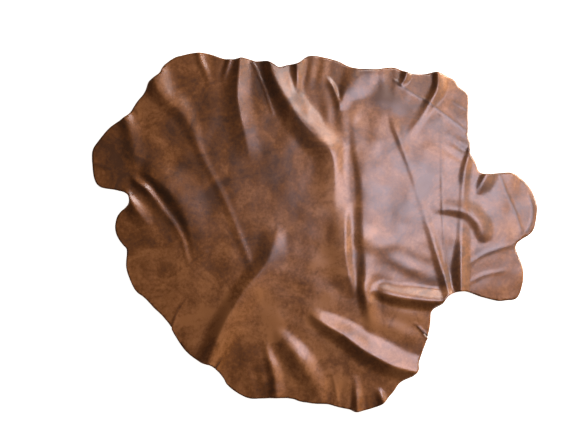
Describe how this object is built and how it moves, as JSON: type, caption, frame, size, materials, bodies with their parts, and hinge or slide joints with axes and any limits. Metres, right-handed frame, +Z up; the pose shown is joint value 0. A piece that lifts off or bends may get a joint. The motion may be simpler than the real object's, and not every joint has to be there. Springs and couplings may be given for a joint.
{
  "type": "leather hide",
  "caption": "Whole brown finished leather hide lying grain side up on a flat surface, with soft rucks, edge pleats and a neck flap.",
  "frame": {"origin": "middle of the hide's footprint, on the surface it lies on", "axes": "+X from the rump towards the neck flap, +Y across the hide, +Z up from the surface, grain side up"},
  "size_m": [1.1124, 0.8966, 0.0163],
  "materials": {
    "hide_leather": "waxed brown grain side with a soft sheen"
  },
  "bodies": {
    "root": {"hide": "hide_leather"}
  },
  "joints": []
}
